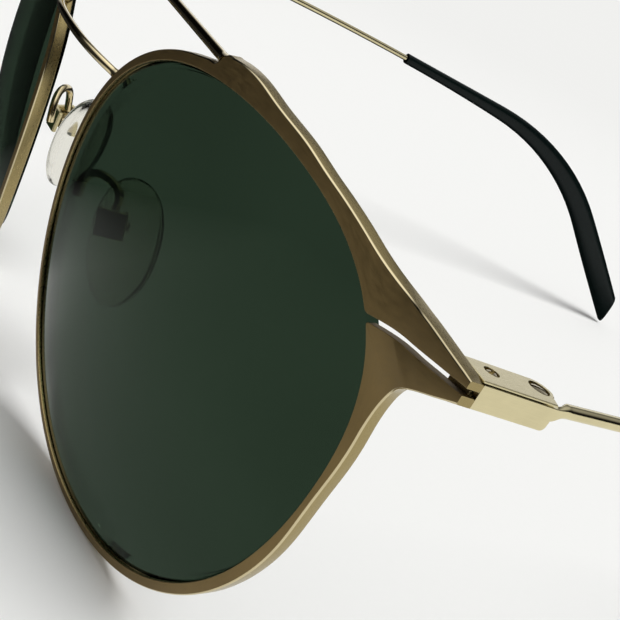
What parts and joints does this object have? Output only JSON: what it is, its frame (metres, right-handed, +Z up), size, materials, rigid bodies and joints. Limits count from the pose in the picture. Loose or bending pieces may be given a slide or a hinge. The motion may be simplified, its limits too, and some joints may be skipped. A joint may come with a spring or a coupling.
{
  "type": "sunglasses",
  "caption": "Metal sunglasses with round tinted lenses, a bowed bridge wire under a straight brow bar, slotted rim corners, screwed hinge blocks, folding temples and soft nose pads.",
  "frame": {"origin": "bottom centre of the whole pair's box: the rims and the temple tips stand on Z = 0, X = 0 is the middle of the nose gap", "axes": "+X to the wearer's left, +Y from the lenses back along the temples, +Z up"},
  "size_m": [0.1388, 0.1542, 0.0483],
  "materials": {
    "brushed_gold": "brushed stainless sheet with an antique gold coating",
    "polished_gold": "polished stainless wire with a pale gold coating",
    "satin_gold": "satin stainless with a pale gold coating",
    "screw_steel": "turned stainless, gold tinted",
    "green_lens": "polished, dark grey-green tint",
    "tip_plastic": "polished acetate, green-black",
    "pad_silicone": "clear silicone, satin"
  },
  "bodies": {
    "front": {"rim_left": "brushed_gold", "rim_right": "brushed_gold", "lens_left": "green_lens", "lens_right": "green_lens", "bridge": "polished_gold", "brow_bar": "polished_gold", "closing_block_upper_left": "satin_gold", "closing_block_upper_right": "satin_gold", "closing_block_lower_left": "satin_gold", "closing_block_lower_right": "satin_gold", "rim_screw_left": "screw_steel", "rim_screw_right": "screw_steel", "hinge_screw_left": "screw_steel", "hinge_screw_right": "screw_steel", "nose_pad_arm_left": "polished_gold", "nose_pad_arm_right": "polished_gold", "pad_box_left": "polished_gold", "pad_box_right": "polished_gold", "pad_screw_left": "screw_steel", "pad_screw_right": "screw_steel"},
    "temple_arm_left": {"temple_left": "satin_gold", "temple_eye_left": "screw_steel", "temple_tip_left": "tip_plastic"},
    "temple_arm_right": {"temple_right": "satin_gold", "temple_eye_right": "screw_steel", "temple_tip_right": "tip_plastic"},
    "pad_rocker_left": {"nose_pad_left": "pad_silicone", "pad_insert_left": "screw_steel"},
    "pad_rocker_right": {"nose_pad_right": "pad_silicone", "pad_insert_right": "screw_steel"}
  },
  "joints": [
    {"name": "temple_fold_left", "type": "hinge", "parent": "front", "child": "temple_arm_left", "pos_m": [0.06724, -0.05713, 0.04166], "axis": [0, 0.0764, 0.9971], "range_deg": [0, 87]},
    {"name": "temple_fold_right", "type": "hinge", "parent": "front", "child": "temple_arm_right", "pos_m": [-0.06724, -0.05713, 0.04166], "axis": [0, -0.0764, -0.9971], "range_deg": [0, 84.5]},
    {"name": "pad_rock_left", "type": "hinge", "parent": "front", "child": "pad_rocker_left", "pos_m": [0.01438, -0.06866, 0.02351], "axis": [0.3052, 0.9393, 0.1564], "range_deg": [-10, 10]},
    {"name": "pad_rock_right", "type": "hinge", "parent": "front", "child": "pad_rocker_right", "pos_m": [-0.01438, -0.06866, 0.02351], "axis": [-0.3052, 0.9393, 0.1564], "range_deg": [-10, 10]}
  ]
}
